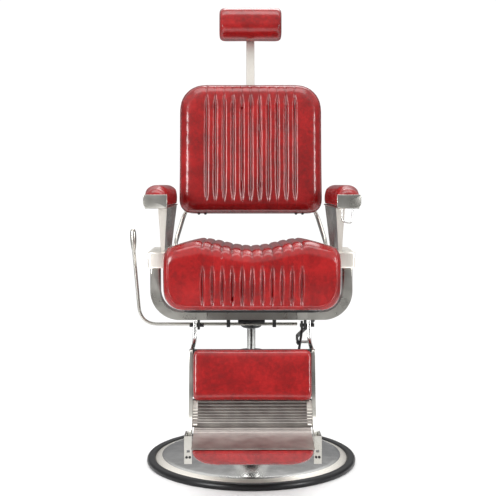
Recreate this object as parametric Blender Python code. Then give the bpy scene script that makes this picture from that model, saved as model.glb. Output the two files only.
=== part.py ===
"""Hydraulic barber chair, built as the separate pieces of the real chair.

Units are metres. The origin is on the floor, on the axis of the pump column.
+Z is up, the sitter faces -Y, and the pump lever is on the -X side.
"""
from math import cos, pi, radians, sin

import bmesh
import bpy
from mathutils import Matrix, Vector

# ------------------------------------------------------------------ driving dimensions
GAP = 0.0003                      # clearance left between two pieces that touch

BASE_RADIUS = 0.300               # outside of the rubber rim
RIM_WIDTH = 0.024
RIM_HEIGHT = 0.018
PLATE_THICKNESS = 0.006
BASE_SIDES = 48                   # facets round the base

PUMP_RADIUS = 0.040               # steel cylinder of the hydraulic pump
PUMP_TOP = 0.300
RAM_RADIUS = 0.012
HUB_BOTTOM = 0.386

YOKE_HALF_WIDTH = 0.284           # U-shaped seat frame, outside
YOKE_SIDE = 0.027                 # thickness of its upright legs
YOKE_FLOOR = 0.0215               # thickness of its bottom
YOKE_BOTTOM = 0.4145
YOKE_CORNER = 0.082
YOKE_FRONT = -0.055
YOKE_BACK = -0.005

BLOCK_INNER = 0.2385              # castings on the top ends of the yoke
BLOCK_OUTER = 0.288
BLOCK_BOTTOM = 0.565
BLOCK_TOP = 0.608
BLOCK_FRONT = -0.100
BLOCK_BACK = 0.140

RAIL_FRONT = -0.215               # two flat rails that carry the seat board
RAIL_HEIGHT = 0.021

SEAT_HALF_WIDTH = 0.234
SEAT_FRONT = -0.280
SEAT_BACK = 0.190
SEAT_BOTTOM = 0.4665
SEAT_CREST = 0.648                # top of the raised sides
SEAT_DIP = 0.024                  # how far the middle lies below them
SEAT_SHOULDER = 0.012             # how far the outer edges lie below them

ARM_INNER = 0.2190
ARM_OUTER = 0.2810
ARM_FRONT = -0.270
ARM_BACK = 0.170
ARM_BOTTOM = 0.733
ARM_CAP_TOP = 0.769
ARM_TOP = 0.794
ARM_SHEET = 0.004

BACK_PIVOT = Vector((0.0, 0.205, 0.5865))
BACK_LEAN = radians(8.0)          # lean of the backrest when it is upright
BACK_HALF_WIDTH = 0.2165
BACK_BOTTOM = 0.121               # measured from the pivot, up the leaning back
BACK_TOP = 0.515
BACK_FACE = -0.050
BACK_REAR = 0.033

HEAD_CENTRE = 0.718
HEAD_HALF_WIDTH = 0.0975
HEAD_HALF_HEIGHT = 0.050
HEAD_PIVOT_Y = 0.0585

FOOT_PIVOT = Vector((0.0, -0.200, 0.421))
CALF_HALF_WIDTH = 0.1505
RAIL_INNER = 0.1525               # side rails of the legrest
RAIL_OUTER = 0.1620
BRACKET_OUTER = 0.1660            # side brackets of the foot plate
TREAD_HALF_WIDTH = 0.1472
FOOTPLATE_PIVOT = Vector((0.0, -0.372, 0.158))
CRANK_DROP = 0.045                # both cranks of the recline linkage
LINK_FRONT_X = 0.1220
LINK_REAR_X = 0.2165
BRACKET_X = 0.2305                # middle of the backrest brackets at their pivots
BRACKET_WIDTH = 0.010
BACK_BOARD = 0.012                # thickness of the panel behind the backrest
PIN_RADIUS = 0.0060

LEVER_AXIS = Vector((0.0, -0.035, 0.4005))
LEVER_RADIUS = 0.0045
LEVER_BEND = 0.050                # how far the bend reaches along each straight part
BAIL_AXIS = Vector((0.0, -0.200, 0.7305))

SIDES = (("left", -1.0), ("right", 1.0))


# ------------------------------------------------------------------ materials
def material(name, colour, roughness, metallic):
    """A Principled material of one colour, roughness and metallic value."""
    made = bpy.data.materials.new(name)
    made.use_nodes = True
    shader = made.node_tree.nodes["Principled BSDF"]
    shader.inputs["Base Color"].default_value = (*colour, 1.0)
    shader.inputs["Roughness"].default_value = roughness
    shader.inputs["Metallic"].default_value = metallic
    made.diffuse_color = (*colour, 1.0)
    return made


CHROME = (0.62, 0.62, 0.62)
SATIN = (0.42, 0.42, 0.41)
RED = (0.42, 0.016, 0.018)
BLACK = (0.012, 0.012, 0.012)
PLYWOOD = (0.38, 0.24, 0.12)

FINISHES = {
    "chrome": (CHROME, 0.12, 1.0),
    "satin": (SATIN, 0.35, 1.0),
    "red": (RED, 0.38, 0.0),
    "black": (BLACK, 0.45, 0.0),
    "plywood": (PLYWOOD, 0.60, 0.0),
}


# ------------------------------------------------------------------ modelling helpers
def empty(name, place, turn=(0.0, 0.0, 0.0)):
    """An axis marker that moving pieces are parented to."""
    marker = bpy.data.objects.new(name, None)
    marker.location = place
    marker.rotation_euler = turn
    bpy.context.collection.objects.link(marker)
    return marker


def outward(shape):
    """Turn every face of a closed body outwards."""
    bmesh.ops.recalc_face_normals(shape, faces=shape.faces[:])
    if shape.calc_volume(signed=True) < 0.0:
        bmesh.ops.reverse_faces(shape, faces=shape.faces[:])


def add(name, shape, finish, parent=None, origin=(0.0, 0.0, 0.0), angle=35.0):
    """Make a named object of a bmesh whose points are in its parent's frame."""
    outward(shape)
    shift = Vector(origin)
    bmesh.ops.translate(shape, vec=-shift, verts=shape.verts[:])
    mesh = bpy.data.meshes.new(name)
    shape.to_mesh(mesh)
    shape.free()
    mesh.shade_smooth()
    mesh.set_sharp_from_angle(angle=radians(angle))
    made = bpy.data.objects.new(name, mesh)
    made.location = shift
    made.parent = parent
    bpy.context.collection.objects.link(made)
    mesh.materials.append(material(name, *FINISHES[finish]))
    return made


def skin(rings, closed_ends=True, ring_closed=False):
    """Join equal rings of points into a closed body, side by side."""
    shape = bmesh.new()
    loops = [[shape.verts.new(point) for point in ring] for ring in rings]
    count = len(loops[0])
    last = len(loops) if ring_closed else len(loops) - 1
    for index in range(last):
        near = loops[index]
        far = loops[(index + 1) % len(loops)]
        for step in range(count):
            after = (step + 1) % count
            shape.faces.new((near[step], near[after], far[after], far[step]))
    if closed_ends and not ring_closed:
        shape.faces.new(loops[0][::-1])
        shape.faces.new(loops[-1])
    return shape


def prism(outline, axis, start, end):
    """Extrude an outline along X, Y or Z. It is given in the other two axes."""
    def place(first, second, along):
        if axis == "X":
            return Vector((along, first, second))
        if axis == "Y":
            return Vector((first, along, second))
        return Vector((first, second, along))
    rings = [[place(a, b, along) for a, b in outline] for along in (start, end)]
    return skin(rings)


def block(low, high, bevel=0.0, segments=2):
    """A box between two corners, with its edges bevelled."""
    outline = [(low[0], low[1]), (high[0], low[1]), (high[0], high[1]), (low[0], high[1])]
    shape = prism(outline, "Z", low[2], high[2])
    if bevel:
        bmesh.ops.bevel(
            shape, geom=shape.edges[:], offset=bevel, segments=segments,
            profile=0.5, affect="EDGES", clamp_overlap=True,
        )
    return shape


def turned(profile, segments=32, centre=(0.0, 0.0, 0.0)):
    """Turn a closed (radius, height) profile round Z into a ring-shaped body."""
    rings = []
    for step in range(segments):
        turn = 2.0 * pi * step / segments
        rings.append([
            Vector((centre[0] + r * cos(turn), centre[1] + r * sin(turn), centre[2] + z))
            for r, z in profile
        ])
    return skin(rings, ring_closed=True)


def rod(start, end, radius, sides=16):
    """A plain round bar between two points."""
    start, end = Vector(start), Vector(end)
    across = (end - start).orthogonal().normalized()
    return swept([start, end], circle(radius, sides), across)


def circle(radius, sides):
    """A round section."""
    return [(radius * cos(2 * pi * n / sides), radius * sin(2 * pi * n / sides)) for n in range(sides)]


def flat(width, thickness, corner=0.0015):
    """A flat bar's section with small chamfered corners."""
    a, b = width / 2, thickness / 2
    return [
        (a - corner, -b), (a, -b + corner), (a, b - corner), (a - corner, b),
        (-a + corner, b), (-a, b - corner), (-a, -b + corner), (-a + corner, -b),
    ]


def swept(path, section, across=Vector((1.0, 0.0, 0.0))):
    """Carry a section along a path. Its first axis stays as near `across` as it can."""
    rings = []
    for index, point in enumerate(path):
        before = path[max(index - 1, 0)]
        after = path[min(index + 1, len(path) - 1)]
        along = (after - before).normalized()
        side = (across - along * across.dot(along)).normalized()
        rise = along.cross(side)
        rings.append([point + side * a + rise * b for a, b in section])
    return skin(rings)


def arc(centre, radius, start, end, steps):
    """Points on an arc, angles in degrees."""
    turns = [radians(start + (end - start) * n / steps) for n in range(steps + 1)]
    return [(centre[0] + radius * cos(t), centre[1] + radius * sin(t)) for t in turns]


def cut(target, name, shape, operation="DIFFERENCE"):
    """Cut a hidden shape out of a piece, or join it to the piece."""
    outward(shape)
    mesh = bpy.data.meshes.new(name)
    shape.to_mesh(mesh)
    shape.free()
    cutter = bpy.data.objects.new(name, mesh)
    cutter.parent = target.parent
    cutter.hide_render = True
    cutter.display_type = "WIRE"
    bpy.context.collection.objects.link(cutter)
    change = target.modifiers.new(name, "BOOLEAN")
    change.operation = operation
    change.object = cutter
    return cutter


# ------------------------------------------------------------------ base and pump
def build_base():
    """Round floor plate with its rubber rim, polished cover and hydraulic cylinder."""
    inner = BASE_RADIUS - RIM_WIDTH
    rim = [(inner + x, z) for x, z in (
        (0.0, 0.0), (RIM_WIDTH - 0.004, 0.0), (RIM_WIDTH, 0.005), (RIM_WIDTH, 0.011),
        (RIM_WIDTH - 0.006, RIM_HEIGHT), (0.004, RIM_HEIGHT), (0.0, RIM_HEIGHT - 0.003),
    )]
    add("base_rim_ring", turned(rim, BASE_SIDES), "black")

    edge = inner - GAP
    add("base_plate", prism(circle(edge, BASE_SIDES), "Z", 0.0, PLATE_THICKNESS), "satin")

    low = PLATE_THICKNESS + GAP
    shell = 0.0016
    top = [(edge, low), (edge, 0.0135), (0.246, 0.0235), (0.160, 0.0275), (0.0845, 0.0290)]
    under = [(0.0845, 0.0290 - shell), (0.160, 0.0275 - shell), (0.246, 0.0235 - shell),
             (edge - shell, 0.0135 - shell), (edge - shell, low)]
    add("base_cover", turned(top + under, BASE_SIDES), "chrome")

    bore = PUMP_RADIUS - 0.006
    body = [(0.070, low), (0.070, 0.014), (PUMP_RADIUS, 0.014), (PUMP_RADIUS, PUMP_TOP),
            (bore, PUMP_TOP), (bore, 0.020), (0.004, 0.020), (0.004, low)]
    add("pump_cylinder", turned(body, 32), "satin")

    skirt = [(0.0840, low), (0.0840, 0.0290), (0.0700, 0.0480), (0.0540, 0.0700), (0.0460, 0.1050),
             (0.0430, 0.1500), (0.0430, PUMP_TOP - 0.004)]
    inside = [(r - 0.002, z - 0.0015) for r, z in skirt[:0:-1]] + [(0.0820, low)]
    add("pump_cover", turned(skirt + inside, 32), "chrome")

    seal_low = PUMP_TOP + 0.010
    cap = [(0.0425, PUMP_TOP - 0.0037 + 0.004), (0.0425, PUMP_TOP + 0.014), (0.0360, PUMP_TOP + 0.020),
           (0.0185, PUMP_TOP + 0.020), (0.0185, seal_low), (0.0125, seal_low),
           (0.0125, PUMP_TOP + GAP)]
    add("pump_gland_cap", turned(cap, 32), "chrome")
    seal = [(0.0182, seal_low + GAP), (0.0182, PUMP_TOP + 0.020), (0.0124, PUMP_TOP + 0.024),
            (0.0124, seal_low + GAP)]
    add("pump_wiper_seal", turned(seal, 24), "black")


def build_ram():
    """Rising rod of the pump with its piston and piston seal."""
    axis = empty("ram_axis", (0.0, 0.0, 0.0))
    section = circle(RAM_RADIUS, 24)
    bottom, top = 0.118, HUB_BOTTOM + 0.014
    add("ram_rod", prism(section, "Z", bottom, top), "chrome", axis, (0, 0, bottom))
    fit = RAM_RADIUS + GAP
    wide = PUMP_RADIUS - 0.006 - 0.0006
    piston = [(wide, 0.122), (wide, 0.126), (wide - 0.004, 0.126), (wide - 0.004, 0.136),
              (wide, 0.136), (wide, 0.142), (fit, 0.142), (fit, 0.122)]
    add("ram_piston", turned(piston, 32), "satin", axis, (0, 0, 0.122))
    ring = [(wide, 0.1263), (wide, 0.1357), (wide - 0.0037, 0.1357), (wide - 0.0037, 0.1263)]
    add("ram_piston_seal", turned(ring, 32), "black", axis, (0, 0, 0.126))


# ------------------------------------------------------------------ seat frame
def yoke_outline():
    """Front view of the U-shaped frame, going round from the right leg's top."""
    top = BLOCK_BOTTOM - GAP
    outer, inner = YOKE_HALF_WIDTH, YOKE_HALF_WIDTH - YOKE_SIDE
    rise = YOKE_BOTTOM + YOKE_CORNER
    bend = YOKE_CORNER - YOKE_FLOOR
    reach = outer - YOKE_CORNER
    low_right = [(x, z) for x, z in arc((reach, rise), YOKE_CORNER, 0, -90, 8)]
    low_left = [(x, z) for x, z in arc((-reach, rise), YOKE_CORNER, -90, -180, 8)]
    lift = YOKE_BOTTOM + YOKE_FLOOR + bend
    up_left = [(x, z) for x, z in arc((-inner + bend, lift), bend, -180, -90, 8)]
    up_right = [(x, z) for x, z in arc((inner - bend, lift), bend, -90, 0, 8)]
    ends_left = [(-outer, top), (-inner, top)]
    ends_right = [(inner, top), (outer, top)]
    return low_right + low_left + ends_left + up_left + up_right + ends_right


def build_seat_frame(chair):
    """Hub, mounting plate, yoke, its end castings, rails, seat board and cushion."""
    plate_low = 0.4066
    hub_radius, socket = 0.0295, RAM_RADIUS + 0.0004
    vent = 0.0008                     # air hole through the end of the socket
    ledge = HUB_BOTTOM + 0.016
    hub = [(hub_radius - 0.0055, HUB_BOTTOM), (hub_radius, HUB_BOTTOM + 0.004), (hub_radius, plate_low - GAP),
           (vent, plate_low - GAP), (vent, ledge), (socket, ledge), (socket, HUB_BOTTOM)]
    add("swivel_hub", turned(hub, 32), "black", chair, (0, 0, HUB_BOTTOM))

    low, high = (-0.038, -0.058, plate_low), (0.038, 0.090, YOKE_BOTTOM - GAP)
    add("seat_mount_plate", block(low, high, 0.0015, 1), "black", chair, low)

    yoke = prism(yoke_outline(), "Y", YOKE_FRONT, YOKE_BACK)
    long_edges = [e for e in yoke.edges if abs(e.verts[0].co.y - e.verts[1].co.y) < 1e-6]
    bmesh.ops.bevel(yoke, geom=long_edges, offset=0.005, segments=2, profile=0.5, affect="EDGES")
    add("seat_yoke", yoke, "chrome", chair, (0, YOKE_FRONT, YOKE_BOTTOM))

    arm_tail = 0.225
    for side, sign in SIDES:
        plan = [(BLOCK_INNER, BLOCK_FRONT), (BLOCK_OUTER - 0.004, BLOCK_FRONT),
                (BLOCK_OUTER, BLOCK_FRONT + 0.006), (BLOCK_OUTER, BLOCK_BACK - 0.012),
                (BLOCK_OUTER - 0.012, BLOCK_BACK), (0.252, BLOCK_BACK + 0.010),
                (0.252, arm_tail), (BLOCK_INNER, arm_tail)]
        rings = []
        for height, inset in ((BLOCK_BOTTOM, 0.010), (BLOCK_BOTTOM + 0.006, 0.003),
                              (BLOCK_TOP - 0.010, 0.001), (BLOCK_TOP - 0.001, 0.0035),
                              (BLOCK_TOP, 0.0045)):
            ring = []
            for x, y in plan:
                narrow = inset if x > 0.26 else 0.0
                ring.append(Vector((sign * (x - narrow), y, height)))
            rings.append(ring)
        casting = add(f"side_block_{side}", skin(rings), "chrome", chair,
                      (sign * BLOCK_INNER, BLOCK_FRONT, BLOCK_BOTTOM))
        hole = rod((sign * 0.20, BACK_PIVOT.y, BACK_PIVOT.z), (sign * 0.30, BACK_PIVOT.y, BACK_PIVOT.z),
                   PIN_RADIUS + 0.0005, 20)
        cut(casting, f"pin_hole_{side}", hole)
        add(f"back_pivot_pin_{side}",
            rod((sign * 0.2205, BACK_PIVOT.y, BACK_PIVOT.z), (sign * 0.2560, BACK_PIVOT.y, BACK_PIVOT.z),
                PIN_RADIUS, 20),
            "satin", chair, (sign * 0.2205, BACK_PIVOT.y, BACK_PIVOT.z))

    floor = YOKE_BOTTOM + YOKE_FLOOR + GAP
    for side, sign in SIDES:
        inner, outer = sorted((sign * 0.120, sign * 0.148))
        add(f"seat_rail_{side}", block((inner, RAIL_FRONT, floor), (outer, 0.180, floor + RAIL_HEIGHT), 0.001, 1),
            "black", chair, (inner, RAIL_FRONT, floor))
    board_low = floor + RAIL_HEIGHT + GAP
    add("seat_board",
        block((-0.205, SEAT_FRONT + 0.045, board_low), (0.205, SEAT_BACK - 0.020, SEAT_BOTTOM - GAP), 0.002, 1),
        "plywood", chair, (0, SEAT_FRONT, board_low))

    rings = []
    depths = ((SEAT_FRONT, 0.030, 0.012), (SEAT_FRONT + 0.010, 0.010, 0.004), (SEAT_FRONT + 0.035, 0.0, 0.0),
              (0.000, 0.008, 0.002), (0.090, 0.010, 0.012), (0.130, 0.014, 0.024),
              (0.164, 0.020, 0.044), (SEAT_BACK, 0.036, 0.072))
    for depth, drop, narrow in depths:
        rings.append([Vector((x, depth, z)) for x, z in seat_outline(drop, narrow)])
    add("seat_cushion", skin(rings), "red", chair, (0, SEAT_FRONT, SEAT_BOTTOM), 50)


def seat_outline(drop, narrow):
    """Front view of the saddle-shaped cushion: its top lowered and its sides drawn in."""
    half = SEAT_HALF_WIDTH - narrow
    crown, corner = 0.036, 0.046
    low = SEAT_BOTTOM
    top = SEAT_CREST - drop
    shoulder = top - SEAT_SHOULDER
    points = arc((half - corner, low + corner), corner, -90, 0, 4)
    points += arc((half - crown, shoulder - crown), crown, 0, 72, 4)
    reach = 0.150
    for step in range(1, 8):
        x = (half - 0.040) * (1.0 - step / 4.0)
        dip = SEAT_DIP * (0.5 + 0.5 * cos(pi * x / reach)) if abs(x) < reach else 0.0
        points.append((x, top - dip))
    points += [(-x, z) for x, z in arc((half - crown, shoulder - crown), crown, 72, 0, 4)]
    points += [(-x, z) for x, z in arc((half - corner, low + corner), corner, 0, -90, 4)]
    return points


# ------------------------------------------------------------------ arms
def build_arms(chair):
    """Each arm: front post, side panel with rear flange, steel rail with cap, and pad."""
    low, high = BLOCK_TOP + GAP, ARM_BOTTOM - GAP
    for side, sign in SIDES:
        post = []
        for height, reach in ((low, 0.0050), (low + 0.050, 0.0075), (high, 0.0125)):
            middle = 0.2465
            post.append([Vector((sign * (middle + reach * u), BLOCK_FRONT + 0.020 + v, height))
                         for u, v in ((-1, 0.0), (1, 0.0), (1, 0.006), (-1, 0.006))])
        add(f"arm_front_post_{side}", skin(post), "chrome", chair, (sign * 0.2465, BLOCK_FRONT, low))

        panel = []
        begin = BLOCK_FRONT + 0.026 + GAP
        for height, flange in ((low, 0.010), (high, 0.026)):
            end = 0.122
            outer, inner = 0.2460, 0.2430
            panel.append([Vector((sign * x, y, height)) for x, y in (
                (outer, begin), (outer, end), (outer - flange, end), (outer - flange, end - 0.003),
                (inner, end - 0.003), (inner, begin))])
        add(f"arm_side_panel_{side}", skin(panel), "chrome", chair, (sign * 0.2430, begin, low))

        profile = [(ARM_FRONT, ARM_BOTTOM), (ARM_BACK, ARM_BOTTOM), (ARM_BACK, ARM_BOTTOM + ARM_SHEET),
                   (ARM_FRONT + ARM_SHEET, ARM_BOTTOM + ARM_SHEET), (ARM_FRONT + ARM_SHEET, ARM_CAP_TOP),
                   (ARM_FRONT, ARM_CAP_TOP)]
        inner, outer = sorted((sign * ARM_INNER, sign * ARM_OUTER))
        add(f"arm_rail_{side}", prism(profile, "X", inner, outer), "chrome", chair,
            (sign * ARM_INNER, ARM_FRONT, ARM_BOTTOM))

        rings = []
        front = ARM_FRONT + ARM_SHEET + GAP
        base = ARM_BOTTOM + ARM_SHEET + GAP
        for depth, drop, narrow in ((front, 0.020, 0.004), (front + 0.012, 0.010, 0.001),
                                    (front + 0.050, 0.0, 0.0), (ARM_BACK - 0.060, 0.0, 0.0),
                                    (ARM_BACK - 0.012, 0.010, 0.001), (ARM_BACK, 0.022, 0.005)):
            middle = (ARM_INNER + ARM_OUTER) / 2
            half = (ARM_OUTER - ARM_INNER) / 2 - 0.0010 - narrow
            shoulder = ARM_TOP - drop - 0.016
            crown = [(u * half, shoulder + 0.016 * (1 - abs(u) ** 2.6)) for u in
                     (1.0, 0.85, 0.55, 0.2, -0.2, -0.55, -0.85, -1.0)]
            outline = [(-half, base), (half, base)] + crown
            rings.append([Vector((sign * (middle + u), depth, z)) for u, z in outline])
        add(f"arm_pad_{side}", skin(rings), "red", chair, (sign * ARM_INNER, front, base), 45)


# ------------------------------------------------------------------ levers
def bend_path(corners, radius, steps=5):
    """Round the inner corners of a path with arcs that start `radius` before each corner."""
    path = [Vector(corners[0])]
    for before, corner, after in zip(corners, corners[1:], corners[2:]):
        corner = Vector(corner)
        start = corner + (Vector(before) - corner).normalized() * radius
        end = corner + (Vector(after) - corner).normalized() * radius
        for step in range(steps + 1):
            t = step / steps
            path.append(start * (1 - t) ** 2 + corner * 2 * t * (1 - t) + end * t ** 2)
    path.append(Vector(corners[-1]))
    return path


def build_levers(chair):
    """Pump lever with its grip and bearings, and the wire handle of the recline lock."""
    for side, sign in SIDES:
        low = (min(sign * 0.060, sign * 0.070), LEVER_AXIS.y - 0.009, LEVER_AXIS.z - 0.008)
        high = (max(sign * 0.060, sign * 0.070), LEVER_AXIS.y + 0.009, YOKE_BOTTOM - GAP)
        bearing = add(f"lever_bearing_{side}", block(low, high), "black", chair, low)
        hole = rod((sign * 0.050, LEVER_AXIS.y, LEVER_AXIS.z), (sign * 0.080, LEVER_AXIS.y, LEVER_AXIS.z),
                   LEVER_RADIUS + 0.0006, 16)
        cut(bearing, f"lever_bore_{side}", hole)

    axis = empty("lever_axis", LEVER_AXIS)
    corners = [(0.130, 0.0, 0.0), (-0.3140, 0.0, 0.0), (-0.3315, 0.0, 0.208)]
    path = bend_path(corners, LEVER_BEND, 10)
    add("pump_lever", swept(path, circle(LEVER_RADIUS, 12), Vector((0, 1, 0))), "chrome", axis)
    rings = []
    foot, tip = Vector((-0.3316, 0.0, 0.2085)), Vector((-0.3335, 0.0, 0.2700))
    for share, radius in ((0.0, 0.0052), (0.20, 0.0070), (0.45, 0.0088), (0.85, 0.0084), (0.96, 0.0062),
                          (1.0, 0.0028)):
        middle = foot.lerp(tip, share)
        rings.append([middle + Vector((u, v, 0.0)) for u, v in circle(radius, 14)])
    add("pump_lever_grip", skin(rings), "satin", axis, foot, 50)

    axis = empty("bail_axis", BAIL_AXIS)
    corners = [(0.2670, 0.0, 0.0), (0.2640, 0.0, -0.0400), (0.2385, 0.0, -0.0330), (0.2385, 0.0, 0.0)]
    path = bend_path(corners, 0.007, 4)
    add("release_bail", swept(path, circle(0.0018, 8), Vector((0, 1, 0))), "chrome", axis)


# ------------------------------------------------------------------ backrest and headrest
def rounded(half, low, high, top_corner, low_corner, inset=0.0, steps=5):
    """Outline of a cushion with round corners, drawn in by `inset` all round."""
    half, low, high = half - inset, low + inset, high - inset
    top_r, low_r = top_corner - inset * 0.5, low_corner - inset * 0.3
    points = arc((half - low_r, low + low_r), low_r, -90, 0, steps)
    points += arc((half - top_r, high - top_r), top_r, 0, 90, steps)
    points += arc((-half + top_r, high - top_r), top_r, 90, 180, steps)
    points += arc((-half + low_r, low + low_r), low_r, 180, 270, steps)
    return points


def pillow(outline_at, depths):
    """Carry an XZ outline through Y. Each depth has its own inset."""
    return skin([[Vector((x, y, z)) for x, z in outline_at(inset)] for y, inset in depths])


def build_back():
    """Backrest, modelled upright in the frame of its leaning pivot."""
    axis = empty("back_axis", BACK_PIVOT, (-BACK_LEAN, 0.0, 0.0))
    depths = ((BACK_FACE, 0.026), (BACK_FACE + 0.010, 0.008), (BACK_FACE + 0.030, 0.0),
              (BACK_REAR - 0.012, 0.002), (BACK_REAR, 0.010))
    cushion = pillow(lambda i: rounded(BACK_HALF_WIDTH, BACK_BOTTOM, BACK_TOP, 0.076, 0.036, i), depths)
    add("back_cushion", cushion, "red", axis, (0, BACK_FACE, BACK_BOTTOM), 50)

    board_front = BACK_REAR + GAP
    board_rear = board_front + BACK_BOARD
    board = rounded(BACK_HALF_WIDTH - 0.010, BACK_BOTTOM + 0.008, BACK_TOP - 0.010, 0.068, 0.028, 0.0, 4)
    add("back_board", prism(board, "Y", board_front, board_rear), "black", axis, (0, board_front, BACK_BOTTOM))

    bar_depth = 0.022
    behind = board_rear + GAP + bar_depth / 2
    for side, sign in SIDES:
        foot = -CRANK_DROP - 0.012 if side == "right" else -0.016
        corners = [(sign * BRACKET_X, 0.0, foot), (sign * BRACKET_X, 0.0, 0.030), (sign * 0.2110, behind, 0.112),
                   (sign * 0.1950, behind, 0.150), (sign * 0.1950, behind, 0.250)]
        bracket = add(f"back_bracket_{side}", swept(bend_path(corners, 0.012, 3), flat(BRACKET_WIDTH, bar_depth)),
                      "chrome", axis, (sign * BRACKET_X, 0, 0))
        cut(bracket, f"pivot_hole_{side}", rod((sign * 0.21, 0, 0), (sign * 0.25, 0, 0), PIN_RADIUS + 0.0006, 20))
    pin_end = BRACKET_X - BRACKET_WIDTH / 2 - GAP
    add("link_pin", rod((LINK_REAR_X - 0.004, 0, -CRANK_DROP), (pin_end, 0, -CRANK_DROP), 0.0040, 16),
        "satin", axis, (LINK_REAR_X, 0, -CRANK_DROP))

    sleeve_low, sleeve_high = 0.360, 0.460
    sleeve = block((-0.024, board_rear + GAP, sleeve_low), (0.024, 0.0660, sleeve_high), 0.0015, 1)
    sleeve = add("headrest_sleeve", sleeve, "black", axis, (0, board_rear, sleeve_low))
    cut(sleeve, "bar_slot", block((-0.0136, 0.0551, sleeve_low - 0.01), (0.0136, 0.0619, sleeve_high + 0.01)))

    slide = empty("headrest_slide_axis", (0.0, 0.0, 0.0))
    slide.parent = axis
    bar = add("headrest_bar", block((-0.0130, 0.0556, 0.300), (0.0130, 0.0614, HEAD_CENTRE), 0.001, 1),
              "satin", slide, (0, HEAD_PIVOT_Y, 0.300))
    pin_line = ((-0.0130, HEAD_PIVOT_Y, HEAD_CENTRE), (0.0130, HEAD_PIVOT_Y, HEAD_CENTRE))
    cut(bar, "bar_eye", rod(*pin_line, 0.0090, 20), "UNION")
    cut(bar, "bar_eye_bore", rod((-0.02, *pin_line[0][1:]), (0.02, *pin_line[1][1:]), 0.0045, 16))

    tilt = empty("headrest_tilt_axis", (0.0, HEAD_PIVOT_Y, HEAD_CENTRE))
    tilt.parent = slide
    up = -HEAD_CENTRE
    ear = [(0.030, 0.0435), (0.030, 0.0465), (0.0180, 0.0465), (0.0180, 0.0690), (0.0134, 0.0690),
           (0.0134, 0.0465)]
    outline = [(x, y - HEAD_PIVOT_Y) for x, y in ear]
    outline += [(-x, y) for x, y in outline[::-1]]
    plate = add("headrest_plate", prism(outline, "Z", -0.014, 0.014), "satin", tilt)
    cut(plate, "ear_bore", rod((-0.03, 0, 0), (0.03, 0, 0), 0.0045, 16))
    add("headrest_pin", rod((-0.0195, 0, 0), (0.0195, 0, 0), 0.0040, 16), "satin", tilt)
    face, rear = -0.032 - HEAD_PIVOT_Y, 0.0432 - HEAD_PIVOT_Y
    low, high = HEAD_CENTRE - HEAD_HALF_HEIGHT + up, HEAD_CENTRE + HEAD_HALF_HEIGHT + up
    depths = ((face, 0.030), (face + 0.010, 0.014), (face + 0.030, 0.002), (rear - 0.016, 0.0), (rear, 0.008))
    head = pillow(lambda i: rounded(HEAD_HALF_WIDTH - i * 0.2, low + i, high - i, 0.016, 0.016), depths)
    add("headrest_cushion", head, "red", tilt, (0, 0, 0), 50)


def build_link():
    """Push rod that joins the backrest's crank to the footrest's crank."""
    turn = Matrix.Rotation(-BACK_LEAN, 3, "X")
    drop = turn @ Vector((0.0, 0.0, -CRANK_DROP))
    rear = BACK_PIVOT + drop
    front = FOOT_PIVOT + drop
    axis = empty("link_axis", (LINK_REAR_X, rear.y, rear.z))
    corners = [
        (0.0, 0.0, 0.012), (0.0, -0.002, -0.030), (0.0, -0.018, -0.105), (-0.0265, -0.068, -0.152),
        (LINK_FRONT_X - LINK_REAR_X, front.y - rear.y + 0.066, front.z - rear.z + 0.004),
        (LINK_FRONT_X - LINK_REAR_X, front.y - rear.y - 0.009, front.z - rear.z),
    ]
    link = add("recline_link_rod", swept(bend_path(corners, 0.014, 3), flat(0.005, 0.012, 0.001)), "black", axis)
    cut(link, "rear_eye", rod((-0.01, 0, 0), (0.01, 0, 0), 0.0045, 16))
    across = LINK_FRONT_X - LINK_REAR_X
    place = (front.y - rear.y, front.z - rear.z)
    cut(link, "front_eye", rod((across - 0.01, *place), (across + 0.01, *place), 0.0048, 16))


# ------------------------------------------------------------------ footrest and footplate
def slab(centre, lean, width, height, corner):
    """YZ outline of a rounded slab that leans by `lean` degrees."""
    half_w, half_h = width / 2, height / 2
    points = []
    for u, v, start in ((1, -1, -90), (1, 1, 0), (-1, 1, 90), (-1, -1, 180)):
        points += arc((u * (half_w - corner), v * (half_h - corner)), corner, start, start + 90, 3)
    c, s = cos(radians(lean)), sin(radians(lean))
    return [(centre[0] + y * c - z * s, centre[1] + y * s + z * c) for y, z in points]


def grille_outline():
    """Side view of the heel plate: a concave sheet with a row of raised ribs in front."""
    bend = Vector((-0.3080, 0.2440)), Vector((-0.3180, 0.2080)), Vector((-0.3450, 0.1895))
    ribs, sheet, rise = 8, 0.0035, 0.0030
    front, back = [], []
    steps = ribs * 4
    for step in range(steps + 1):
        t = step / steps
        point = bend[0] * (1 - t) ** 2 + bend[1] * 2 * t * (1 - t) + bend[2] * t ** 2
        along = ((bend[1] - bend[0]) * (1 - t) + (bend[2] - bend[1]) * t).normalized()
        outward = Vector((along.y, -along.x))
        bump = rise * abs(sin(pi * ribs * t)) ** 0.6
        front.append(tuple(point + outward * bump))
        if step % 4 == 0:
            back.append(tuple(point - outward * sheet))
    lip = [(-0.3452, 0.1815), (-0.3432, 0.1815)]     # turned down behind the tread
    return front + lip + back[::-1]


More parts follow.
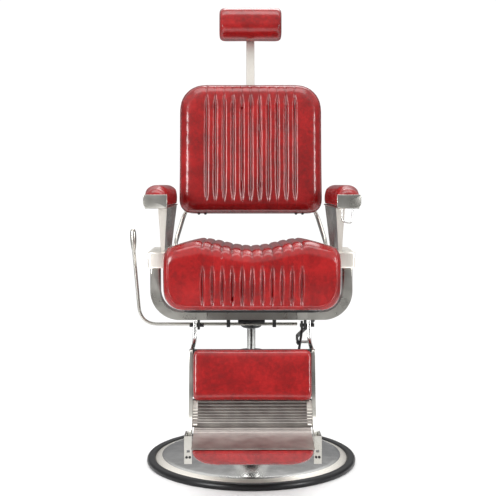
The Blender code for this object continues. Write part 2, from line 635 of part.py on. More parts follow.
def build_footrest(chair):
    """Hinge lugs on the chair, and the swinging legrest with its calf pad and heel plate."""
    hinge = FOOT_PIVOT
    rail_under = YOKE_BOTTOM + YOKE_FLOOR
    for side, sign in SIDES:
        inner, outer = sorted((sign * 0.1385, sign * 0.1448))
        lug = add(f"footrest_lug_{side}",
                  block((inner, hinge.y - 0.009, hinge.z - 0.011), (outer, hinge.y + 0.009, rail_under), 0.001, 1),
                  "black", chair, (inner, hinge.y, hinge.z))
        cut(lug, f"axle_{side}", rod((sign * 0.1280, *hinge.yz), (sign * 0.1660, *hinge.yz), 0.0050, 16), "UNION")

    axis = empty("footrest_axis", hinge)
    drop = Matrix.Rotation(-BACK_LEAN, 3, "X") @ Vector((0.0, 0.0, -CRANK_DROP))
    for side, sign in SIDES:
        corners = [(sign * 0.1520, 0.0020, 0.0110), (sign * 0.1520, drop.y, drop.z + 0.004),
                   (sign * 0.1575, -0.0400, -0.0650), (sign * 0.1575, -0.0758, -0.0650)]
        arm = add(f"footrest_arm_{side}", swept(bend_path(corners, 0.016, 3), flat(0.010, 0.018)),
                  "chrome", axis, (sign * 0.1520, 0, 0))
        cut(arm, f"axle_bore_{side}", rod((sign * 0.13, 0, 0), (sign * 0.18, 0, 0), 0.0056, 20))
        if side == "right":
            stud = rod((LINK_FRONT_X - 0.0045, drop.y, drop.z), (0.1520, drop.y, drop.z), 0.0040, 16)
            cut(arm, "crank_stud", stud, "UNION")

        outline = [(-0.2764, 0.3700), (-0.2960, 0.3720), (-0.3190, 0.2500), (-0.3440, 0.2060), (-0.3860, 0.1740),
                   (-0.3860, 0.1450), (-0.3640, 0.1420), (-0.3300, 0.1780), (-0.2960, 0.2400), (-0.2764, 0.3300)]
        outline = [(y - hinge.y, z - hinge.z) for y, z in outline]
        inner, outer = sorted((sign * RAIL_INNER, sign * RAIL_OUTER))
        rail = add(f"footrest_side_{side}", prism(outline, "X", inner, outer), "chrome", axis,
                   (inner, -0.0764, -0.0900))
        bore = FOOTPLATE_PIVOT - hinge
        cut(rail, f"foot_bore_{side}", rod((sign * 0.14, *bore.yz), (sign * 0.18, *bore.yz), 0.0056, 20))

    reach = RAIL_INNER - GAP
    lean = -10.6                      # degrees, of the calf pad and its board
    board = [(y - hinge.y, z - hinge.z) for y, z in slab((-0.2960, 0.3110), lean, 0.010, 0.122, 0.002)]
    add("calf_board", prism(board, "X", -reach, reach), "plywood", axis, (0, -0.096, -0.110))
    rings = []
    width, height = 0.0400, 0.1260
    half = CALF_HALF_WIDTH
    for x, inset in ((-half, 0.006), (-half + 0.006, 0.001), (-half + 0.018, 0.0), (half - 0.018, 0.0),
                     (half - 0.006, 0.001), (half, 0.006)):
        ring = slab((-0.3224 + inset * 0.4, 0.3100), lean, width - inset * 0.8, height - inset * 2, 0.012)
        rings.append([Vector((x, y - hinge.y, z - hinge.z)) for y, z in ring])
    add("calf_pad", skin(rings), "red", axis, (0, -0.120, -0.110), 50)

    plate = [(y - hinge.y, z - hinge.z) for y, z in grille_outline()]
    add("footrest_grille", prism(plate, "X", -reach, reach), "satin", axis, (0, -0.130, -0.200), 50)

    corners = [(0.1330, 0.0020, 0.0110), (0.1330, -0.0030, -0.0160), (0.1200, -0.0765, -0.0620)]
    stay = add("calf_stay_rod", swept(bend_path(corners, 0.010, 3), flat(0.006, 0.012, 0.001)), "black", axis,
               (0.1330, 0, 0))
    cut(stay, "stay_eye", rod((0.12, 0, 0), (0.14, 0, 0), 0.0055, 20))


def build_footplate():
    """Hinged foot plate: metal tread on top, red pad below, between two side brackets."""
    pivot = FOOTPLATE_PIVOT
    axis = empty("footplate_axis", pivot)
    tread = [(-0.3500, 0.1830), (-0.3500, 0.1800), (-0.4950, 0.1635), (-0.4975, 0.1650), (-0.4970, 0.1672)]
    ribs = 3
    for n in range(ribs * 4, -1, -1):
        t = n / (ribs * 4)
        y = -0.3520 - 0.0360 * t
        tread.append((y, 0.1830 + (y + 0.3500) * 0.110 + 0.0022 * abs(sin(pi * ribs * t)) ** 0.6))
    tread = [(y - pivot.y, z - pivot.z) for y, z in tread]
    half = TREAD_HALF_WIDTH
    add("footplate_tread", prism(tread, "X", -half, half), "satin", axis, (0, -0.050, 0.010))

    rings = []
    for x, inset in ((-0.1455, 0.010), (-0.1380, 0.002), (-0.1200, 0.0), (0.1200, 0.0), (0.1380, 0.002),
                     (0.1455, 0.010)):
        outline = [(-0.4050, 0.1733), (-0.4950 + inset * 0.3, 0.1630), (-0.4985 + inset * 0.5, 0.1560),
                   (-0.4950 + inset, 0.1330 + inset), (-0.4850 + inset, 0.1240 + inset),
                   (-0.4650, 0.1200 + inset), (-0.4250, 0.1220 + inset), (-0.4070, 0.1300 + inset),
                   (-0.4020, 0.1420 + inset)]
        rings.append([Vector((x, y - pivot.y, z - pivot.z)) for y, z in outline])
    add("footplate_pad", skin(rings), "red", axis, (0, -0.090, -0.010), 50)

    for side, sign in SIDES:
        outline = [(-0.3600, 0.1700), (-0.4000, 0.1860), (-0.4680, 0.1900), (-0.4680, 0.1220),
                   (-0.4300, 0.1220), (-0.3600, 0.1460)]
        outline = [(y - pivot.y, z - pivot.z) for y, z in outline]
        inner, outer = sorted((sign * (RAIL_OUTER + 0.0008), sign * BRACKET_OUTER))
        web = add(f"footplate_bracket_{side}", prism(outline, "X", inner, outer), "chrome", axis,
                  (inner, 0, 0))
        flange_in, flange_out = sorted((sign * (half + GAP), sign * 0.1640))
        flange = block((flange_in, -0.4680 - pivot.y, 0.1220 - pivot.z),
                       (flange_out, -0.4640 - pivot.y, 0.1900 - pivot.z))
        cut(web, f"flange_{side}", flange, "UNION")
        spigot = rod((sign * 0.1535, 0, 0), (sign * 0.1640, 0, 0), 0.0050, 16)
        cut(web, f"spigot_{side}", spigot, "UNION")
        slot_in, slot_out = sorted((sign * 0.1520, sign * 0.1600))
        slot = block((slot_in, -0.4700 - pivot.y, 0.1500 - pivot.z),
                     (slot_out, -0.4620 - pivot.y, 0.1560 - pivot.z))
        cut(web, f"slot_{side}", slot)


# ------------------------------------------------------------------ assembly
def main():
    """Clear the scene and build every piece."""
    for old in list(bpy.data.objects):
        bpy.data.objects.remove(old, do_unlink=True)
    build_base()
    build_ram()
    chair = empty("swivel_axis", (0.0, 0.0, 0.0))
    build_seat_frame(chair)
    build_arms(chair)
    build_levers(chair)
    build_back()
    build_link()
    build_footrest(chair)
    build_footplate()


main()
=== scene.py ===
"""The looks of a hydraulic barber chair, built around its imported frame. Units are metres."""
from math import cos, pi, radians, sin

import bmesh
import bpy
from mathutils import Matrix, Vector, noise
from mathutils.bvhtree import BVHTree


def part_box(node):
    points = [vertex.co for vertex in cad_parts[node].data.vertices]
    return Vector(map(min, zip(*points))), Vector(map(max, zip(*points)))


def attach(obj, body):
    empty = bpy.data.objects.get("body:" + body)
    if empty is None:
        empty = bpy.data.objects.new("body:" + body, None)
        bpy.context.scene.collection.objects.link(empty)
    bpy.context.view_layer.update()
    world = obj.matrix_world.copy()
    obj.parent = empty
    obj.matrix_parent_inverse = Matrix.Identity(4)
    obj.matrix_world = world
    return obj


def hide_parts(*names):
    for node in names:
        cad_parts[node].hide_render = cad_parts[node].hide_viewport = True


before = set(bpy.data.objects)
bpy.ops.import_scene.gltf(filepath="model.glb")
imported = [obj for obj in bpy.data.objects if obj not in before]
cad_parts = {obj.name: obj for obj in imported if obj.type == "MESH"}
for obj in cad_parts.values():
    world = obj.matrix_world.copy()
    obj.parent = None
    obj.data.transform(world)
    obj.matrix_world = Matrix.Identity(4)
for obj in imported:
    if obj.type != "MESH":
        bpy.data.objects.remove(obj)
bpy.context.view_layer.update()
scene = bpy.context.scene
MM = 0.001


# ------------------------------------------------------------------ studio
# A plain white floor under four soft boxes. The surroundings that polished metal mirrors are
# a grey room with a pale ceiling and a dark band at eye height.
def linear(code):
    """An sRGB hex colour as linear red, green, blue and alpha."""
    parts = [int(code[i:i + 2], 16) / 255 for i in (1, 3, 5)]
    return [c / 12.92 if c <= 0.04045 else ((c + 0.055) / 1.055) ** 2.4 for c in parts] + [1.0]


def add_node(tree, kind, inputs=None, stops=(), **settings):
    """Add a node, set its properties and (place, hex colour) stops, and fill or link its sockets."""
    made = tree.nodes.new("ShaderNode" + kind)
    for name, value in settings.items():
        setattr(made, name, value)
    while stops and len(made.color_ramp.elements) < len(stops):
        made.color_ramp.elements.new(0.5)
    for number, (place, code) in enumerate(stops):
        made.color_ramp.elements[number].position = place
        made.color_ramp.elements[number].color = linear(code)
    for socket, value in (inputs or {}).items():
        if isinstance(value, bpy.types.NodeSocket):
            tree.links.new(value, made.inputs[socket])
        else:
            made.inputs[socket].default_value = value
    return made


def principled(name, **values):
    """A new material and its shader, with constants on the shader's own sockets."""
    made = bpy.data.materials.new(name)
    made.use_nodes = True
    shader = made.node_tree.nodes["Principled BSDF"]
    for socket, value in values.items():
        shader.inputs[socket.replace("_", " ")].default_value = value
    return made, made.node_tree, shader


def object_place(tree):
    """Positions in metres in the object's own space, so that grain keeps its real size."""
    return add_node(tree, "TexCoord").outputs["Object"]


floor_paint, tree, shader = principled("matt_white_paint", Roughness=0.9)
cloud = add_node(tree, "TexNoise", {"Vector": object_place(tree), "Scale": 0.8, "Detail": 3.0})
tint = add_node(tree, "ValToRGB", {"Fac": cloud.outputs["Fac"]}, ((0.3, "#F4F4F4"), (0.7, "#F8F8F8")))
tree.links.new(tint.outputs["Color"], shader.inputs["Base Color"])
bpy.ops.mesh.primitive_circle_add(vertices=128, radius=1.9, fill_type="NGON")
floor = bpy.context.object
floor.name = "studio_floor"
floor.data.materials.append(floor_paint)

world = bpy.data.worlds.new("grey_room")
scene.world = world
world.use_nodes = True
sky = world.node_tree
height = add_node(sky, "SeparateXYZ", {"Vector": add_node(sky, "TexCoord").outputs["Generated"]})
lift = add_node(sky, "MapRange", {"Value": height.outputs["Z"], "From Min": -1.0, "From Max": 1.0})
room = add_node(sky, "ValToRGB", {"Fac": lift.outputs["Result"]}, (
    (0.0, "#C8C8C8"), (0.40, "#A0A0A0"), (0.49, "#7A7A7A"), (0.62, "#8C8C8E"), (0.69, "#A4A4A4"),
    (0.78, "#F4F4F4"), (1.0, "#FFFFFF")))
room_light = add_node(sky, "Background", {"Color": room.outputs["Color"], "Strength": 1.1})
white = add_node(sky, "Background", {"Color": linear("#FFFFFF"), "Strength": 1.05})
rays = add_node(sky, "LightPath")
seen = add_node(sky, "MixShader", {0: rays.outputs["Is Camera Ray"], 1: room_light.outputs["Background"],
                                   2: white.outputs["Background"]})
sky.links.new(seen.outputs[0], sky.nodes["World Output"].inputs["Surface"])

for name, place, size, watts, aim in (
        ("soft_box_left", (-1.9, -2.0, 1.2), (0.7, 1.7), 64, (0.0, 0.0, 0.75)),
        ("soft_box_right", (2.1, -1.7, 1.1), (0.5, 1.6), 42, (0.0, 0.0, 0.7)),
        ("soft_box_top", (0.0, -0.5, 3.0), (2.2, 1.6), 34, (0.0, 0.0, 0.4)),
        ("soft_box_back", (0.4, 1.9, 3.1), (1.6, 1.2), 20, (0.0, 0.0, 0.7))):
    lamp = bpy.data.lights.new(name, "AREA")
    lamp.shape = "RECTANGLE"
    lamp.size, lamp.size_y = size
    lamp.energy = watts
    holder = bpy.data.objects.new(name, lamp)
    holder.location = place
    holder.rotation_euler = (Vector(aim) - Vector(place)).to_track_quat("-Z", "Y").to_euler()
    scene.collection.objects.link(holder)

lens = bpy.data.cameras.new("studio_camera")
lens.lens = 71.3
camera = bpy.data.objects.new("studio_camera", lens)
camera.location = (-0.0245, -2.8, 0.796)
camera.rotation_euler = (radians(90 - 3.72), 0.0, radians(-0.31))
scene.collection.objects.link(camera)
scene.camera = camera
scene.view_settings.view_transform = "Standard"


# ------------------------------------------------------------------ base
# A steel disc under a spun, chrome-plated cover. A moulded rubber rim is stretched round its edge,
# so that the chair doesn't mark the floor.
def spun(name, profile, segments=96, body="base", node=None, finish=None):
    """Turn an open or closed (radius, height) profile round the column's axis."""
    shape = bmesh.new()
    rings = []
    turns = [2 * pi * n / segments for n in range(segments)]
    for radius, height in profile:
        rings.append([shape.verts.new((radius * cos(turn), radius * sin(turn), height)) for turn in turns])
    for low, high in zip(rings, rings[1:] + rings[:1]):
        for n in range(segments):
            after = (n + 1) % segments
            shape.faces.new((low[n], low[after], high[after], high[n]))
    return piece(name, shape, body, node, finish)


def piece(name, shape, body, node, finish, angle=40):
    """Make a shown piece of a bmesh: it rides on a body and stands for CAD nodes."""
    bmesh.ops.recalc_face_normals(shape, faces=shape.faces[:])
    mesh = bpy.data.meshes.new(name)
    shape.to_mesh(mesh)
    shape.free()
    mesh.shade_smooth()
    mesh.set_sharp_from_angle(angle=radians(angle))
    made = bpy.data.objects.new(name, mesh)
    scene.collection.objects.link(made)
    mesh.materials.append(finish)
    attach(made, body)
    if node:
        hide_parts(*([node] if isinstance(node, str) else node))
    return made


def rounded_profile(points, radius, steps=4):
    """Round the corners of a closed (radius, height) profile."""
    made = []
    for n, corner in enumerate(points):
        before, after = Vector(points[n - 1]), Vector(points[(n + 1) % len(points)])
        corner = Vector(corner)
        reach = min(radius, (before - corner).length * 0.45, (after - corner).length * 0.45)
        start = corner + (before - corner).normalized() * reach
        end = corner + (after - corner).normalized() * reach
        for step in range(steps + 1):
            t = step / steps
            made.append(tuple(start * (1 - t) ** 2 + corner * 2 * t * (1 - t) + end * t ** 2))
    return made


# Chrome plate: a mirror-like nickel and chromium layer on polished steel. Soft polishing marks and
# finger smears keep it from a perfect mirror.
chrome, tree, shader = principled("chrome_plated_steel", Metallic=1.0)
place = object_place(tree)
smear = add_node(tree, "TexNoise", {"Vector": place, "Scale": 1 / (40 * MM), "Detail": 4.0,
                                    "Roughness": 0.55})
polish = add_node(tree, "TexNoise", {"Vector": place, "Scale": 1 / (0.9 * MM), "Detail": 2.0})
tint = add_node(tree, "ValToRGB", {"Fac": smear.outputs["Fac"]}, ((0.3, "#C6C6C4"), (0.7, "#D8D8D6")))
tree.links.new(tint.outputs["Color"], shader.inputs["Base Color"])
dull = add_node(tree, "MapRange", {"Value": smear.outputs["Fac"], "From Min": 0.3, "From Max": 0.75,
                                   "To Min": 0.13, "To Max": 0.24})
tree.links.new(dull.outputs["Result"], shader.inputs["Roughness"])
bump = add_node(tree, "Bump", {"Height": polish.outputs["Fac"], "Strength": 0.05, "Distance": 0.02 * MM})
tree.links.new(bump.outputs["Normal"], shader.inputs["Normal"])

# Bright drawn steel: pale nickel over fine lines left by drawing and brushing.
bar_steel, tree, shader = principled("bright_drawn_steel_bar", Metallic=0.9)
place = object_place(tree)
lines = add_node(tree, "Mapping", {"Vector": place, "Scale": (1 / (0.6 * MM), 1 / (0.6 * MM), 1 / (60 * MM))})
drawn = add_node(tree, "TexNoise", {"Vector": lines.outputs["Vector"], "Scale": 1.0, "Detail": 3.0})
tint = add_node(tree, "ValToRGB", {"Fac": drawn.outputs["Fac"]}, ((0.3, "#EFEAE0"), (0.7, "#FCF8F0")))
tree.links.new(tint.outputs["Color"], shader.inputs["Base Color"])
dull = add_node(tree, "MapRange", {"Value": drawn.outputs["Fac"], "To Min": 0.30, "To Max": 0.44})
tree.links.new(dull.outputs["Result"], shader.inputs["Roughness"])
bump = add_node(tree, "Bump", {"Height": drawn.outputs["Fac"], "Strength": 0.15, "Distance": 0.03 * MM})
tree.links.new(bump.outputs["Normal"], shader.inputs["Normal"])

# Black rubber: moulded, slightly glossy from its mould, with dust in fine pits.
rubber, tree, shader = principled("black_moulded_rubber", IOR=1.52, Specular_IOR_Level=0.35)
place = object_place(tree)
pits = add_node(tree, "TexNoise", {"Vector": place, "Scale": 1 / (1.5 * MM), "Detail": 5.0})
dust = add_node(tree, "TexNoise", {"Vector": place, "Scale": 1 / (60 * MM), "Detail": 3.0})
tint = add_node(tree, "ValToRGB", {"Fac": dust.outputs["Fac"]}, ((0.35, "#08080A"), (0.75, "#131315")))
tree.links.new(tint.outputs["Color"], shader.inputs["Base Color"])
dull = add_node(tree, "MapRange", {"Value": dust.outputs["Fac"], "To Min": 0.24, "To Max": 0.42})
tree.links.new(dull.outputs["Result"], shader.inputs["Roughness"])
bump = add_node(tree, "Bump", {"Height": pits.outputs["Fac"], "Strength": 0.12, "Distance": 0.1 * MM})
tree.links.new(bump.outputs["Normal"], shader.inputs["Normal"])

RIM_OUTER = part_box("base_rim_ring")[1][0]
RIM_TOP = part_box("base_rim_ring")[1][2]
RIM_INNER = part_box("base_plate")[1][0]
rim = [(RIM_INNER + 0.0004, 0.0), (RIM_OUTER - 0.003, 0.0), (RIM_OUTER, 0.005), (RIM_OUTER, 0.012),
       (RIM_OUTER - 0.005, RIM_TOP), (RIM_INNER + 0.004, RIM_TOP), (RIM_INNER + 0.0004, RIM_TOP - 0.004)]
spun("rubber_rim", rounded_profile(rim, 0.005), 128, node="base_rim_ring", finish=rubber)

COVER_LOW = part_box("base_cover")[0][2]
COVER_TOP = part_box("base_cover")[1][2]
COVER_HOLE = 0.0845
EDGE = 0.2565
disc = [(EDGE, 0.0208), (0.250, 0.0228), (0.247, 0.0234), (0.243, 0.0238), (0.200, 0.0262),
        (0.150, 0.0280), (0.110, 0.0287), (COVER_HOLE, COVER_TOP)]
disc += [(r - 0.0008 * (r < EDGE), z - 0.0014) for r, z in disc[::-1]]
spun("spun_base_cover", disc, 128, node="base_cover", finish=chrome)
bevel = [(RIM_INNER - 0.0005, COVER_LOW), (RIM_INNER - 0.0005, 0.0130), (RIM_INNER - 0.002, 0.0146),
         (0.262, 0.0190), (EDGE + 0.0002, 0.0208)]
bevel += [(EDGE + 0.0002, 0.0192)] + [(r - 0.0012, z - 0.0014) for r, z in bevel[-2:1:-1]]
bevel += [(RIM_INNER - 0.0022, COVER_LOW)]
spun("base_cover_bevel", bevel, 128, node="base_cover", finish=bar_steel)


# ------------------------------------------------------------------ pump
# The hydraulic cylinder stands on the plate under a flared chrome skirt. The polished rod rises
# through a gland cap and a rubber wiper.
def refinish(finish, *names):
    """Give CAD nodes that are shown as they are a real material."""
    for name in names:
        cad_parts[name].data.materials.clear()
        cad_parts[name].data.materials.append(finish)


PUMP_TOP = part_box("pump_cover")[1][2]
SKIRT_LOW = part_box("pump_cover")[0][2]
SKIRT_FOOT, SKIRT_NECK, SKIRT_SHEET = 0.084, 0.043, 0.002
skirt = [(SKIRT_FOOT, SKIRT_LOW), (SKIRT_FOOT, 0.0305)]
for step in range(15):
    share = step / 14
    flare = (SKIRT_FOOT - SKIRT_NECK - 0.001) * (1 - share) ** 2.6
    skirt.append((SKIRT_NECK + flare, 0.0325 + 0.1175 * share))
skirt += [(SKIRT_NECK, PUMP_TOP - 0.002), (SKIRT_NECK - 0.0006, PUMP_TOP)]
inside = [(r - SKIRT_SHEET, z) for r, z in skirt[::-1]]
spun("pump_skirt", skirt + inside, 96, node="pump_cover", finish=chrome)
refinish(chrome, "pump_gland_cap")
refinish(rubber, "pump_wiper_seal")

ROD_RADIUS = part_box("ram_rod")[1][0]
ROD_LOW, ROD_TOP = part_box("ram_rod")[0][2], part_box("ram_rod")[1][2]
rod = [(0.0004, ROD_LOW), (ROD_RADIUS - 0.001, ROD_LOW), (ROD_RADIUS, ROD_LOW + 0.001), (ROD_RADIUS, ROD_TOP),
       (0.0004, ROD_TOP)]
spun("polished_ram_rod", rod, 64, body="ram", node="ram_rod", finish=chrome)


# ------------------------------------------------------------------ seat frame
# A thick U-shaped casting carries the seat from below, with a casting bolted to the top of each
# leg for the arms and the backrest. The yoke is ground smooth and satin plated; the side castings have the
# bright drawn steel finish.
def prism(name, outline, axis, low, high, edge, body, node, finish, angle=35):
    """A plate or bar: an outline carried along one axis, with rounded rims."""
    order = {"X": (2, 0, 1), "Y": (0, 2, 1), "Z": (0, 1, 2)}[axis]
    shape = bmesh.new()
    ends = [[shape.verts.new([(a, b, c)[n] for n in order]) for a, b in outline] for c in (low, high)]
    shape.faces.new(ends[0])
    shape.faces.new(ends[1][::-1])
    for n in range(len(outline)):
        after = (n + 1) % len(outline)
        shape.faces.new((ends[0][n], ends[0][after], ends[1][after], ends[1][n]))
    if edge:
        rims = [e for e in shape.edges if (e.verts[0] in ends[0]) == (e.verts[1] in ends[0])]
        bmesh.ops.bevel(shape, geom=rims, offset=edge, segments=3, profile=0.5, affect="EDGES")
    return piece(name, shape, body, node, finish, angle)


def arc(x, z, radius, start, end, steps=12):
    """Points on an arc, angles in degrees."""
    turns = [radians(start + (end - start) * n / steps) for n in range(steps + 1)]
    return [(x + radius * cos(t), z + radius * sin(t)) for t in turns]


def both(*names):
    """The left and right node of each name."""
    return [f"{name}_{side}" for name in names for side in ("left", "right")]


# Satin plate: ground castings under dull nickel. Fine grinding grain and cloudy handling marks
# spread the reflections.
satin, tree, shader = principled("satin_plated_casting", Metallic=1.0)
place = object_place(tree)
cloudy = add_node(tree, "TexNoise", {"Vector": place, "Scale": 1 / (55 * MM), "Detail": 4.0})
tint = add_node(tree, "ValToRGB", {"Fac": cloudy.outputs["Fac"]}, ((0.3, "#A9A7A0"), (0.7, "#BCBAB4")))
tree.links.new(tint.outputs["Color"], shader.inputs["Base Color"])
dull = add_node(tree, "MapRange", {"Value": cloudy.outputs["Fac"], "From Min": 0.3, "From Max": 0.7,
                                   "To Min": 0.25, "To Max": 0.34})
tree.links.new(dull.outputs["Result"], shader.inputs["Roughness"])
grain_place = add_node(tree, "Mapping", {"Vector": place, "Scale": (1.0, 1.0, 0.08)})
grain = add_node(tree, "TexNoise", {"Vector": grain_place.outputs["Vector"], "Scale": 1 / (0.8 * MM),
                                    "Detail": 3.0})
bump = add_node(tree, "Bump", {"Height": grain.outputs["Fac"], "Strength": 0.10, "Distance": 0.03 * MM})
tree.links.new(bump.outputs["Normal"], shader.inputs["Normal"])

# Black powder coat: orange peel and a slight sheen.
powder, tree, shader = principled("black_powder_coat", IOR=1.5)
place = object_place(tree)
peel = add_node(tree, "TexNoise", {"Vector": place, "Scale": 1 / (1.2 * MM), "Detail": 2.0})
wear = add_node(tree, "TexNoise", {"Vector": place, "Scale": 1 / (35 * MM), "Detail": 4.0})
tint = add_node(tree, "ValToRGB", {"Fac": wear.outputs["Fac"]}, ((0.35, "#121214"), (0.75, "#242426")))
tree.links.new(tint.outputs["Color"], shader.inputs["Base Color"])
dull = add_node(tree, "MapRange", {"Value": wear.outputs["Fac"], "To Min": 0.36, "To Max": 0.52})
tree.links.new(dull.outputs["Result"], shader.inputs["Roughness"])
bump = add_node(tree, "Bump", {"Height": peel.outputs["Fac"], "Strength": 0.2, "Distance": 0.05 * MM})
tree.links.new(bump.outputs["Normal"], shader.inputs["Normal"])

YOKE_LOW, YOKE_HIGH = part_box("seat_yoke")
OUTER, LEG, FLOOR, CORNER = YOKE_HIGH[0], 0.027, 0.0215, 0.082
yoke = arc(OUTER - CORNER, YOKE_LOW[2] + CORNER, CORNER, 0, -90, 24)
yoke += arc(CORNER - OUTER, YOKE_LOW[2] + CORNER, CORNER, -90, -180, 24)
yoke += [(-OUTER, YOKE_HIGH[2]), (LEG - OUTER, YOKE_HIGH[2])]
inner = CORNER - FLOOR
yoke += arc(LEG - OUTER + inner, YOKE_LOW[2] + FLOOR + inner, inner, -180, -90, 24)
yoke += arc(OUTER - LEG - inner, YOKE_LOW[2] + FLOOR + inner, inner, -90, 0, 24)
yoke += [(OUTER - LEG, YOKE_HIGH[2]), (OUTER, YOKE_HIGH[2])]
prism("cast_yoke", yoke, "Y", YOKE_LOW[1], YOKE_HIGH[1], 0.005, "chair", "seat_yoke", satin,
      50)

for side, sign in (("left", -1), ("right", 1)):
    low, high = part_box(f"side_block_{side}")
    near, far = (0.2385, 0.288)
    plan = [(near, low[1]), (far - 0.002, low[1]), (far, 0.140), (0.252, 0.150), (0.252, high[1]),
            (near, high[1])]
    plan = rounded_profile([(sign * x, y) for x, y in plan], 0.007, 5)
    prism(f"side_casting_{side}", plan, "Z", low[2], high[2], 0.004, "chair", f"side_block_{side}", bar_steel,
          50)

refinish(chrome, *both("back_pivot_pin"))
refinish(powder, "swivel_hub", "seat_mount_plate", *both("lever_bearing"))
# The board is black powder coat, and dark enough that its edge under the cushion also stands in for the shade
# there: partly painted shade.
low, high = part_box("seat_board")
BOARD_HALF, BOARD_FRONT_EDGE = 0.180, -0.225
board = [(-BOARD_HALF, BOARD_FRONT_EDGE), (BOARD_HALF, BOARD_FRONT_EDGE), (BOARD_HALF, high[1]),
         (-BOARD_HALF, high[1])]
prism("seat_board_shown", rounded_profile(board, 0.02), "Z", low[2], high[2], 0.001, "chair", "seat_board",
      powder)
refinish(satin, "base_plate", "pump_cylinder", "ram_piston", *both("seat_rail"))
refinish(rubber, "ram_piston_seal")


# ------------------------------------------------------------------ seat cushion
# Shaped foam in a tight cover of glossy artificial leather. Ten channels are sewn from the front
# edge over the top to the back, inside smooth side panels edged with piping.
SMOOTHING_ROUNDS, BUMP_SHARE = 90, 0.45


def soft(name, node, body, voxel, swell, finish=None, sew=None):
    """A stuffed cover that starts a little small and is blown up as cloth. Foam evens the swelling
    out, so it is averaged over the cover and its bumps are kept at a share. Then it is sewn."""
    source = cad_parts[node]
    mesh = source.data.copy()
    mesh.transform(source.matrix_world)
    mesh.materials.clear()
    mesh.materials.append(finish)
    made = bpy.data.objects.new(name, mesh)
    scene.collection.objects.link(made)
    bpy.context.view_layer.objects.active = made
    grid = made.modifiers.new("grid", "REMESH")
    grid.mode, grid.voxel_size = "VOXEL", voxel
    ease = made.modifiers.new("ease", "SMOOTH")
    ease.factor, ease.iterations = 0.5, 10
    for change in ("grid", "ease"):
        bpy.ops.object.modifier_apply(modifier=change)
    out = [vertex.normal.copy() for vertex in mesh.vertices]
    start = [vertex.co - normal * swell * 0.5 for vertex, normal in zip(mesh.vertices, out)]
    for vertex, place in zip(mesh.vertices, start):
        vertex.co = place
    cloth = made.modifiers.new("cloth", "CLOTH")
    cloth.settings.use_pressure = True
    cloth.settings.uniform_pressure_force = 4.0
    cloth.settings.effector_weights.gravity = 0.0
    for step in range(1, 21):
        scene.frame_set(step)
    blown = made.evaluated_get(bpy.context.evaluated_depsgraph_get()).data
    moved = [vertex.co.copy() for vertex in blown.vertices]
    made.modifiers.clear()
    rise = [max(-swell, min(swell, (end - place).dot(normal)))
            for place, end, normal in zip(start, moved, out)]
    pairs = [tuple(edge.vertices) for edge in mesh.edges]
    for step in range(SMOOTHING_ROUNDS):
        total, count = list(rise), [1] * len(rise)
        for a, b in pairs:
            total[a] += rise[b]
            total[b] += rise[a]
            count[a] += 1
            count[b] += 1
        rise = [value / number for value, number in zip(total, count)]
    middle = sum(rise) / len(rise)
    for vertex, place, normal, height in zip(mesh.vertices, start, out, rise):
        vertex.co = place + normal * (middle + BUMP_SHARE * (height - middle))
    scene.frame_set(1)
    settle = made.modifiers.new("settle", "SMOOTH")
    settle.factor, settle.iterations = 0.5, 6
    bpy.ops.object.modifier_apply(modifier="settle")
    finer = made.modifiers.new("finer", "SUBSURF")
    finer.levels = finer.render_levels = 1
    bpy.ops.object.modifier_apply(modifier="finer")
    low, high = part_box(node)
    for axis in range(3):
        spread = [vertex.co[axis] for vertex in mesh.vertices]
        least, most = min(spread), max(spread)
        for vertex in mesh.vertices:
            share = (vertex.co[axis] - least) / (most - least)
            vertex.co[axis] = low[axis] + (high[axis] - low[axis]) * share
    if sew:
        sew(mesh)
    mesh.shade_smooth()
    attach(made, body)
    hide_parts(node)
    return made


def flutes(mesh, count, pitch, depth, across, hold):
    """Sew channels: pinch the cover in along seams at equal spacing, and paint shade into each seam groove.
    `hold` fades them by place.
    """
    mesh.update()
    crease_shade = mesh.attributes.new("crease_shade", "FLOAT", "POINT")
    normals = [vertex.normal.copy() for vertex in mesh.vertices]
    half = count * pitch / 2
    for vertex, normal in zip(mesh.vertices, normals):
        grip = hold(vertex.co, normal)
        beyond = abs(vertex.co.x) - half
        if grip <= 0.0 or beyond > pitch * 0.5:
            continue
        place = (vertex.co.x + half) / pitch
        seam = min(max(round(place), 0), count)
        along = Vector((seam * 3.1, vertex.co.y * 9.0, vertex.co.z * 9.0))
        offset = (place - seam) * pitch - 0.0007 * noise.noise(along * 3.0)
        if abs(offset) < across:
            vertex.co.x -= offset
            offset = 0.0
        share = 1.0 - min(abs(offset) / (pitch * 0.5), 1.0)
        pinch = max(0.0, 1.0 - abs(offset) / (pitch * 0.30)) ** 1.5
        roll = 1.0 - (1.0 - share ** 2) ** 0.5
        uneven = 1.0 + 0.25 * noise.noise(along)
        vertex.co -= normal * depth * grip * (0.45 * pinch + 0.55 * roll) * uneven
        # Painted shade: the seam groove is marked for the leather's darker red.
        crease_shade.data[vertex.index].value = max(0.0, 1.0 - abs(offset) / 0.0035) * min(1.0, grip * 1.4)


